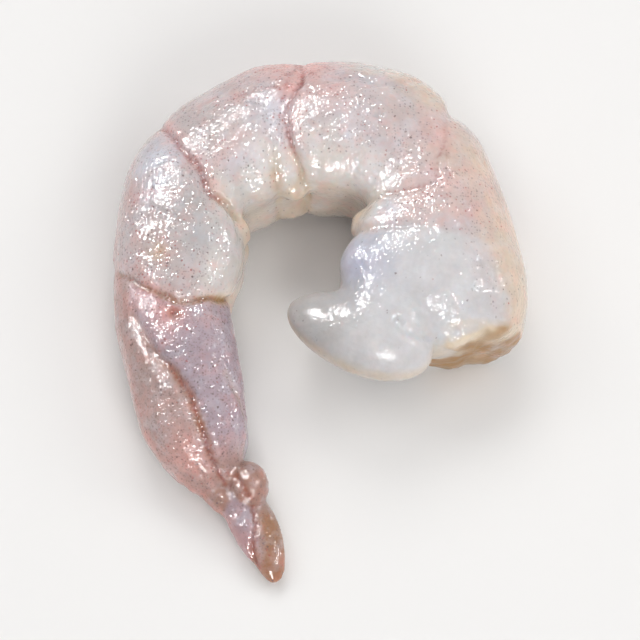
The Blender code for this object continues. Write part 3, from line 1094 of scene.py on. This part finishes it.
    def caramel_and_shade(self) -> np.ndarray:
        """Brown, partly painted shade: the cut face's lower part, darker towards the bottom; painted
        shadow in the tail furrow and the fan's creases; the fifth crease's brown line; the right blade,
        browner and painted darker as the lower lobe; and the pit at the tail's root.

        Returns:
            Each point's share of the tone.
        """
        # Painted shade: the cut face turns browner towards its lower edge.
        low = self.cut() * ramp(11.6 + 2.0 * self.blotch - self.skin.points[:, 2], 0.0, 4.4)
        # Painted shadow: the dark line that the ridge casts into the tail furrow, and the shade in the
        # fan's creases.
        tail = 0.7 * mound(self.furrows["tail furrow"], 0.45) * ramp(self.along, 74, 80)
        fan = self.lines((("blade crease", 0.5, 0.4), ("knob crease", 0.4, 0.4)))
        fifth = 0.65 * mound(self.creases["fifth"], 0.3) * ramp(self.degrees, 10, 30)
        lines = strongest(tail, fan, fifth) * (1 + 0.5 * self.blotch)
        pit = mound(self.skin.spot(*TAIL_PIT), 0.5)
        # The right blade: browner, and painted darker as shade on the lower lobe beside the crease.
        blade, tinge = 0.62 * self.on_lobe("right blade"), 0.12 * self.fan * (1 - self.violet())
        return strongest(low, lines, pit, blade, tinge)

    def thin(self) -> np.ndarray:
        """Thin glassy flesh: the tips of the flaps, and the neck's edge over the curl's gap; and painted
        shade: darker patches on the upper flank of the fourth and fifth segments.

        Returns:
            Each point's share of the tone.
        """
        points = self.skin.points
        tip = ramp(8.0 - points[:, 0] + 1.2 * self.blotch, 0.0, 9.0) * self.flap
        under = ramp(self.degrees, 140, 175) * ramp(self.neck_end - self.along, 0.0, 1.0)
        # Painted shade: darker patches on the upturned flank, which the lamps light strongly.
        clear = self.patches(((62.5, 94, 6.5, 0.95), (50.0, 82, 3.8, 0.7)))
        return np.clip(strongest(tip, clear, 0.5 * under), 0, 1)

    def specks(self) -> np.ndarray:
        """How thickly the dark colour cells lie.

        Returns:
            Each point's share of the tone.
        """
        body = 1 - 0.88 * ramp(self.degrees, 98, 132) * (1 - self.in_tail)
        body = body * (0.55 + 0.45 * ramp(self.along, 38, 48)) * (0.5 + 0.5 * ramp(self.degrees, 8, 24))
        body = body * (1 - 0.93 * self.milky()) * (1 - 0.3 * self.fan) * (1 - self.face)
        body = body * (1 - 0.6 * self.peach()) * (1 + 0.75 * self.in_tail)
        clusters = 0.85 + 0.5 * grain(self.skin.points, 4.5, 51) + 0.6 * grain(self.skin.points, 1.7, 52)
        return np.clip(body * clusters, 0, 1)

    def reds(self) -> np.ndarray:
        """How thickly the red colour cells lie: mostly where the flesh is flushed."""
        return self.specks() * np.clip(0.06 + 1.5 * self.rose(), 0, 1) * (1 - 0.65 * self.in_tail)

    def crinkle(self) -> np.ndarray:
        """How crumpled the wet film is.

        Returns:
            Each point's share of the tone.
        """
        rough = (
            (55.5, 60, 3.0), (61.0, 64, 4.0), (66.0, 84, 3.4), (71.5, 52, 3.0), (75.5, 70, 3.4),
            (54.4, 118, 3.0), (48.3, 112, 3.2), (49.0, 82, 3.0), (36.7, 126, 3.2), (23.8, 124, 2.6),
            (27.0, 130, 2.6), (36.5, 104, 2.4), (30.5, 86, 2.0), (88.5, 55, 4.0), (43.0, 100, 2.4),
            (16.0, 104, 2.4), (80.0, 60, 6.0), (84.0, 50, 5.0),
        )
        share = 0.78 + 0.15 * grain(self.skin.points, 3.2, 61)
        share = np.maximum(share, self.patches(tuple((*place, 1.0) for place in rough)))
        calm = np.maximum(self.milky() * 0.35, 0.15 * self.olive_lit())
        rims = 1 - 0.6 * np.maximum(1 - ramp(self.degrees, 10, 34), ramp(self.degrees, 132, 160))
        return np.clip(share, 0.3, 0.95) * (1 - calm) * rims

    def paint(self) -> None:
        """Keeps every tone on the mesh."""
        mesh = self.skin.mesh
        for tone in Tone:
            values = getattr(self, tone.value)()
            layer = mesh.attributes.new(tone.value, "FLOAT", "POINT")
            layer.data.foreach_set("value", values.astype(np.float32))
        layer = mesh.attributes.new("straight", "FLOAT_VECTOR", "POINT")
        layer.data.foreach_set("vector", self.skin.straight.astype(np.float32).ravel())


class Tone(Enum):
    """The tones of the flesh, by the name of the attribute that says where each one lies."""

    MILKY = "milky"
    PEACH = "peach"
    ROSE = "rose"
    BLOOD_AND_SHADE = "blood"
    VIOLET = "violet"
    RUST = "rust"
    OLIVE_LIT = "olive_lit"
    PALE_SHEEN = "pale"
    TAN = "tan"
    CUT = "cut"
    CARAMEL_AND_SHADE = "caramel_and_shade"
    HAZE = "haze"
    THIN = "thin"
    SPECKS = "specks"
    REDS = "reds"
    CRINKLE = "crinkle"


def add_node(
    tree: bpy.types.NodeTree, kind: str, inputs: dict[object, object] | None = None, **settings: object
) -> bpy.types.Node:
    """Adds one node to a material.

    Args:
        tree: The material's node tree.
        kind: Blender's name for the node's type.
        inputs: For an input's name or number, the value it has or the output that feeds it.
        settings: The node's own settings.

    Returns:
        The node.
    """
    node = tree.nodes.new(kind)
    for name, value in settings.items():
        setattr(node, name, value)
    for key, value in (inputs or {}).items():
        if isinstance(value, bpy.types.NodeSocket):
            tree.links.new(value, node.inputs[key])
        else:
            node.inputs[key].default_value = value
    return node


def start_material(name: str) -> tuple[bpy.types.Material, bpy.types.NodeTree]:
    """Starts a material with an empty node tree."""
    material = bpy.data.materials.new(name)
    material.use_nodes = True
    material.node_tree.nodes.clear()
    return material, material.node_tree


@dataclass(frozen=True)
class WetRawFlesh:
    """Wet raw prawn flesh: milky, translucent muscle under a thin wrinkled film of water.

    Light goes a millimetre or two into the muscle and comes out warm, which softens all shading.
    Dark and red colour cells lie as specks in the skin, and the film breaks each reflection into
    clusters of small glints.
    """

    ground: str = "#c9bbb9"
    milky: str = "#cfcdcd"
    haze: str = "#b4b6cd"
    # Grey of thin glassy flesh, also the painted shade on the upper flank.
    thin: str = "#b2aeab"
    peach: str = "#dac6b0"
    rose: str = "#e8a196"
    # Red of the crease lines and vessels, also used as painted shade.
    blood: str = "#9c4a40"
    violet: str = "#a8959d"
    rust: str = "#9c7264"
    # Lighter than the flesh's own greenish grey: painted light for the shaded belly side.
    olive_lit: str = "#e0dad1"
    # Bluish white of the painted highlight, also the tint of the random pale clouds.
    pale: str = "#d8dce6"
    # Colour of the painted glow of light through thin flesh.
    tan: str = "#d3b487"
    cut: str = "#dccbb2"
    # Brown of the cut face and the fan, also used as painted shade and shadow.
    caramel_and_shade: str = "#916322"
    dark_speck: str = "#6b5654"
    red_speck: str = "#a8504a"
    roughness: float = 0.34
    film_roughness: float = 0.07
    scatter_depth: float = 1.2  # millimetres

    def material(self) -> bpy.types.Material:
        """Builds the material.

        Returns:
            The material, ready for a piece.
        """
        flesh, tree = start_material("wet_raw_prawn_flesh")
        here = add_node(tree, "ShaderNodeTexCoord").outputs["Object"]
        tones = {
            tone: add_node(tree, "ShaderNodeAttribute", attribute_name=tone.value).outputs["Fac"]
            for tone in Tone
        }
        colour = self.mottled(tree, here, tones[Tone.MILKY], self.toned(tree, tones))
        colour = self.specked(tree, here, tones[Tone.SPECKS], tones[Tone.REDS], colour)
        muscle, film = self.relief(tree, here, tones[Tone.CRINKLE])
        wetness = add_node(tree, "ShaderNodeMapRange", {
            "Value": tones[Tone.MILKY], "To Min": 1.0, "To Max": 0.5
        })
        shader = add_node(tree, "ShaderNodeBsdfPrincipled", {
            "Base Color": colour,
            "Roughness": self.roughness,
            "IOR": 1.38,
            "Specular IOR Level": 0.12,
            "Subsurface Weight": 0.55,
            "Subsurface Radius": (1.0, 0.55, 0.42),
            "Subsurface Scale": self.scatter_depth * MM,
            "Coat Weight": wetness.outputs["Result"],
            "Coat Roughness": self.film_roughness,
            "Coat IOR": 1.5,
            "Normal": muscle,
            "Coat Normal": film,
        })
        add_node(tree, "ShaderNodeOutputMaterial", {"Surface": shader.outputs["BSDF"]})
        return flesh

    def toned(
        self, tree: bpy.types.NodeTree, tones: dict[Tone, bpy.types.NodeSocket]
    ) -> bpy.types.NodeSocket:
        """Mixes the tones' colours over the ground colour, each where its attribute says.

        Args:
            tree: The material's node tree.
            tones: Each tone's share, from the mesh.

        Returns:
            The mixed colour.
        """
        # Several tones are painted light: the warm glow, the bluish sheen, the shade in the thin, brown
        # and red tones, and the lightened olive.
        layers = (
            (Tone.OLIVE_LIT, self.olive_lit, 0.8), (Tone.PEACH, self.peach, 0.9), (Tone.RUST, self.rust, 0.85),
            (Tone.VIOLET, self.violet, 0.9), (Tone.ROSE, self.rose, 0.85), (Tone.MILKY, self.milky, 0.95),
            (Tone.HAZE, self.haze, 0.9), (Tone.THIN, self.thin, 0.8), (Tone.PALE_SHEEN, self.pale, 0.8),
            (Tone.TAN, self.tan, 0.85), (Tone.CUT, self.cut, 0.95), (Tone.CARAMEL_AND_SHADE, self.caramel_and_shade, 0.85),
            (Tone.BLOOD_AND_SHADE, self.blood, 0.85),
        )
        colour = add_node(tree, "ShaderNodeRGB")
        colour.outputs[0].default_value = linear(self.ground)
        mixed = colour.outputs[0]
        for tone, tint, strength in layers:
            share = add_node(tree, "ShaderNodeMath", {0: tones[tone], 1: strength}, operation="MULTIPLY")
            mixed = add_node(tree, "ShaderNodeMix", {
                "Factor": share.outputs[0], "A": mixed, "B": linear(tint)
            }, data_type="RGBA").outputs["Result"]
        return mixed

    def mottled(
        self,
        tree: bpy.types.NodeTree,
        here: bpy.types.NodeSocket,
        milky: bpy.types.NodeSocket,
        colour: bpy.types.NodeSocket,
    ) -> bpy.types.NodeSocket:
        """Clouds the flesh: 2 mm patches of denser and pinker muscle, and finer flecks of light.

        Args:
            tree: The material's node tree.
            here: Object coordinates.
            milky: Where the flesh is milky: it is even there.
            colour: The colour under the clouds.

        Returns:
            The clouded colour.
        """
        plain = add_node(tree, "ShaderNodeMapRange", {"Value": milky, "To Min": 1.0, "To Max": 0.12})
        # The clouds' widths are in millimetres, and the seed moves the second ones off the first.
        for width, seed, tint, strength in ((2.2, 0.0, self.pale, 0.28), (1.7, 3.0, self.rose, 0.24)):
            shift = add_node(tree, "ShaderNodeVectorMath", {
                0: here, 1: (seed, 0.0, 0.0)
            }, operation="ADD")
            cloud = add_node(tree, "ShaderNodeTexNoise", {
                "Vector": shift.outputs["Vector"], "Scale": 1 / (width * MM),
                "Detail": 4.0, "Roughness": 0.6,
            })
            share = add_node(tree, "ShaderNodeMapRange", {
                "Value": cloud.outputs["Fac"], "From Min": 0.48, "From Max": 0.72, "To Max": strength
            })
            share = add_node(tree, "ShaderNodeMath", {
                0: share.outputs["Result"], 1: plain.outputs["Result"]
            }, operation="MULTIPLY")
            colour = add_node(tree, "ShaderNodeMix", {
                "Factor": share.outputs[0], "A": colour, "B": linear(tint)
            }, data_type="RGBA").outputs["Result"]
        for width, low, high in ((3.0, 0.92, 1.06), (0.6, 0.96, 1.03)):
            cloud = add_node(tree, "ShaderNodeTexNoise", {
                "Vector": here, "Scale": 1 / (width * MM), "Detail": 3.0
            })
            level = add_node(tree, "ShaderNodeMapRange", {
                "Value": cloud.outputs["Fac"], "From Min": 0.3, "From Max": 0.7,
                "To Min": low, "To Max": high,
            })
            colour = add_node(tree, "ShaderNodeVectorMath", {
                0: colour, "Scale": level.outputs["Result"]
            }, operation="SCALE").outputs["Vector"]
        return colour

    def specked(
        self,
        tree: bpy.types.NodeTree,
        here: bpy.types.NodeSocket,
        density: bpy.types.NodeSocket,
        reds: bpy.types.NodeSocket,
        colour: bpy.types.NodeSocket,
    ) -> bpy.types.NodeSocket:
        """Scatters colour cells, ragged dots about a quarter of a millimetre across.

        Args:
            tree: The material's node tree.
            here: Object coordinates.
            density: How thickly the dark ones lie.
            reds: How thickly the red ones lie.
            colour: The colour under them.

        Returns:
            The colour with the specks.
        """
        stir = add_node(tree, "ShaderNodeTexNoise", {
            "Vector": here, "Scale": 1 / (0.4 * MM), "Detail": 2.0
        })
        shifted = add_node(tree, "ShaderNodeVectorMath", {
            0: stir.outputs["Color"], 1: (0.3 * MM,) * 3, 2: here
        }, operation="MULTIPLY_ADD")
        # Each kind: the spacing of its places in millimetres, the dot's radius and soft edge as shares
        # of that, how many places have a dot, where they lie, and the dot's colour and strength.
        kinds = (
            (0.32, 0.36, 0.2, 0.8, density, self.dark_speck, 0.46),
            (0.6, 0.22, 0.12, 0.5, density, self.dark_speck, 0.8),
            (0.36, 0.36, 0.2, 0.8, reds, self.red_speck, 0.65),
        )
        for spacing, radius, softness, rarity, where, tint, strength in kinds:
            cells = add_node(tree, "ShaderNodeTexVoronoi", {
                "Vector": shifted.outputs["Vector"], "Scale": 1 / (spacing * MM), "Randomness": 1.0
            })
            dot = add_node(tree, "ShaderNodeMapRange", {
                "Value": cells.outputs["Distance"], "From Min": radius + softness / 2,
                "From Max": radius - softness / 2,
            })
            draw = add_node(tree, "ShaderNodeSeparateColor", {"Color": cells.outputs["Color"]})
            wanted = add_node(tree, "ShaderNodeMath", {0: where, 1: rarity}, operation="MULTIPLY")
            chosen = add_node(tree, "ShaderNodeMath", {
                0: draw.outputs["Red"], 1: wanted.outputs[0]
            }, operation="LESS_THAN")
            depth = add_node(tree, "ShaderNodeMapRange", {
                "Value": draw.outputs["Green"], "To Min": 0.35 * strength, "To Max": strength
            })
            share = add_node(tree, "ShaderNodeMath", {
                0: dot.outputs["Result"], 1: chosen.outputs[0]
            }, operation="MULTIPLY")
            share = add_node(tree, "ShaderNodeMath", {
                0: share.outputs[0], 1: depth.outputs["Result"]
            }, operation="MULTIPLY")
            colour = add_node(tree, "ShaderNodeMix", {
                "Factor": share.outputs[0], "A": colour, "B": linear(tint)
            }, data_type="RGBA").outputs["Result"]
        return colour

    def relief(
        self, tree: bpy.types.NodeTree, here: bpy.types.NodeSocket, crinkle: bpy.types.NodeSocket
    ) -> tuple[bpy.types.NodeSocket, bpy.types.NodeSocket]:
        """Fine relief of the muscle, and the sharper one of the film of water on it.

        Args:
            tree: The material's node tree.
            here: Object coordinates.
            crinkle: How crumpled the film is.

        Returns:
            The muscle's normal and the film's.
        """
        coarse = add_node(tree, "ShaderNodeTexNoise", {
            "Vector": here, "Scale": 1 / (0.9 * MM), "Detail": 3.0, "Distortion": 0.6
        })
        muscle = add_node(tree, "ShaderNodeBump", {
            "Height": coarse.outputs["Fac"], "Strength": 0.4, "Distance": 0.12 * MM
        })
        pulled = add_node(tree, "ShaderNodeAttribute", attribute_name="straight").outputs["Vector"]
        # Streaks 3 mm long and 1 mm across that follow the body, and beads just under 1 mm apart.
        drawn_out = add_node(tree, "ShaderNodeVectorMath", {
            0: pulled, 1: (0.6, 1.9, 1.9)
        }, operation="MULTIPLY")
        streaks = add_node(tree, "ShaderNodeTexNoise", {
            "Vector": drawn_out.outputs["Vector"], "Scale": 1.0, "Detail": 0.0, "Distortion": 0.8
        })
        beads = add_node(tree, "ShaderNodeTexNoise", {
            "Vector": here, "Scale": 1 / (0.4 * MM), "Detail": 0.0, "Distortion": 0.5
        })
        both = add_node(tree, "ShaderNodeMath", {
            0: streaks.outputs["Fac"], 1: 0.5, 2: beads.outputs["Fac"]
        }, operation="MULTIPLY_ADD")
        height = add_node(tree, "ShaderNodeMath", {
            0: both.outputs[0], 1: crinkle
        }, operation="MULTIPLY")
        film = add_node(tree, "ShaderNodeBump", {
            "Height": height.outputs[0], "Strength": 1.0, "Distance": 0.16 * MM,
            "Normal": muscle.outputs["Normal"],
        })
        return muscle.outputs["Normal"], film.outputs["Normal"]


@dataclass(frozen=True)
class MattTable:
    """A matt white painted table: pale and even, so that it sets nothing off but the prawn."""

    colour: str = "#eceae7"
    roughness: float = 0.6

    def material(self) -> bpy.types.Material:
        """Builds the material.

        Returns:
            The material, ready for a piece.
        """
        table, tree = start_material("matt_white_table")
        here = add_node(tree, "ShaderNodeTexCoord").outputs["Object"]
        cloud = add_node(tree, "ShaderNodeTexNoise", {"Vector": here, "Scale": 1 / (60 * MM)})
        mixed = add_node(tree, "ShaderNodeMix", {
            "Factor": cloud.outputs["Fac"], "A": linear(self.colour), "B": linear("#e7e5e2")
        }, data_type="RGBA")
        shader = add_node(tree, "ShaderNodeBsdfPrincipled", {
            "Base Color": mixed.outputs["Result"], "Roughness": self.roughness, "Specular IOR Level": 0.1
        })
        add_node(tree, "ShaderNodeOutputMaterial", {"Surface": shader.outputs["BSDF"]})
        return table


class LightUse(Enum):
    """What a light is for."""

    BOTH = 0
    SHADING = 1  # it doesn't show in reflections
    GLINTS = 2  # it shows in reflections only, and casts no shadow


@dataclass(frozen=True)
class SoftBox:
    """A square light that faces the prawn."""

    name: str
    azimuth: float  # degrees from +X towards +Y
    elevation: float
    distance: float  # metres
    side: float  # metres
    watts: float
    use: LightUse = LightUse.BOTH
    colour: tuple[float, float, float] = (1.0, 1.0, 1.0)

    def hang(self, aim: Vector) -> None:
        """Places the light and turns it to the aim.

        Args:
            aim: What the light faces.
        """
        light = bpy.data.lights.new(self.name, "AREA")
        light.energy = self.watts
        light.size = self.side
        light.color = self.colour
        holder = put(self.name, light)
        turn, rise = math.radians(self.azimuth), math.radians(self.elevation)
        direction = Vector((
            math.cos(rise) * math.cos(turn), math.cos(rise) * math.sin(turn), math.sin(rise)
        ))
        holder.location = aim + direction * self.distance
        holder.rotation_euler = direction.to_track_quat("Z", "Y").to_euler()
        holder.visible_diffuse = self.use is not LightUse.GLINTS
        holder.visible_glossy = self.use is not LightUse.SHADING


@dataclass
class Studio:
    """The table, the lights and the camera."""

    aim: Vector = field(default_factory=lambda: Vector((0.0, 0.0, 5 * MM)))
    elevation: float = 65.0  # the photograph looks down this steeply
    distance: float = 0.6333
    lens: float = 300.0
    boxes: tuple[SoftBox, ...] = (
        SoftBox("key", 150, 45, 0.6, 0.3, 0.58, LightUse.SHADING, (1.0, 0.985, 0.965)),
        SoftBox("front", -75, 32, 0.6, 0.35, 1.8, LightUse.SHADING),
        SoftBox("right", 15, 38, 0.6, 0.3, 0.66, LightUse.SHADING),
        SoftBox("behind", 95, 45, 0.6, 0.3, 1.02, LightUse.SHADING),
        SoftBox("overhead", 60, 84, 0.7, 0.4, 0.4, LightUse.BOTH, (0.98, 0.99, 1.0)),
        SoftBox("left glint", 155, 38, 0.55, 0.155, 3.9, LightUse.GLINTS),
        SoftBox("back glint", 112, 47, 0.55, 0.13, 2.7, LightUse.GLINTS),
        SoftBox("front glint", -98, 35, 0.55, 0.14, 3.0, LightUse.GLINTS),
        SoftBox("right glint", 5, 42, 0.55, 0.1, 1.3, LightUse.GLINTS),
    )

    def lay_table(self) -> None:
        """Lays the plain pale table under the prawn."""
        shape = bmesh.new()
        bmesh.ops.create_grid(shape, x_segments=2, y_segments=2, size=1.5)
        mesh = bpy.data.meshes.new("table")
        shape.to_mesh(mesh)
        shape.free()
        mesh.materials.append(MattTable().material())
        put("table", mesh)

    def light(self) -> None:
        """Hangs the soft boxes and fills the room with pale light."""
        for box in self.boxes:
            box.hang(self.aim)
        world = bpy.data.worlds.new("room")
        world.use_nodes = True
        background = world.node_tree.nodes["Background"]
        background.inputs["Color"].default_value = (0.93, 0.95, 1.0, 1.0)
        background.inputs["Strength"].default_value = 0.42
        bpy.context.scene.world = world
        bpy.context.scene.view_settings.view_transform = "Standard"

    def set_camera(self) -> None:
        """Places the camera in front, looking steeply down, as the photograph does."""
        data = bpy.data.cameras.new("camera")
        data.lens = self.lens
        data.clip_start = 0.01
        data.clip_end = 20.0
        camera = put("camera", data)
        rise = math.radians(self.elevation)
        back = Vector((0.0, -math.cos(rise), math.sin(rise)))
        camera.location = self.aim + back * self.distance
        camera.rotation_euler = (math.pi / 2 - rise, 0.0, 0.0)
        bpy.context.scene.camera = camera

    def build(self) -> None:
        """Sets up the whole studio."""
        self.lay_table()
        self.light()
        self.set_camera()


def report(piece: bpy.types.Object) -> None:
    """Logs a piece's name and how many triangles it has."""
    triangles = sum(len(face.vertices) - 2 for face in piece.data.polygons)
    LOG.info("%s: %d triangles", piece.name, triangles)


def main() -> None:
    """Builds the prawn and its studio."""
    logging.basicConfig(level=logging.INFO, format="%(name)s: %(message)s")
    Studio().build()
    flesh = PrawnFlesh()
    piece = flesh.build()
    flesh.dress(piece)
    report(piece)


if __name__ == "__main__":
    main()
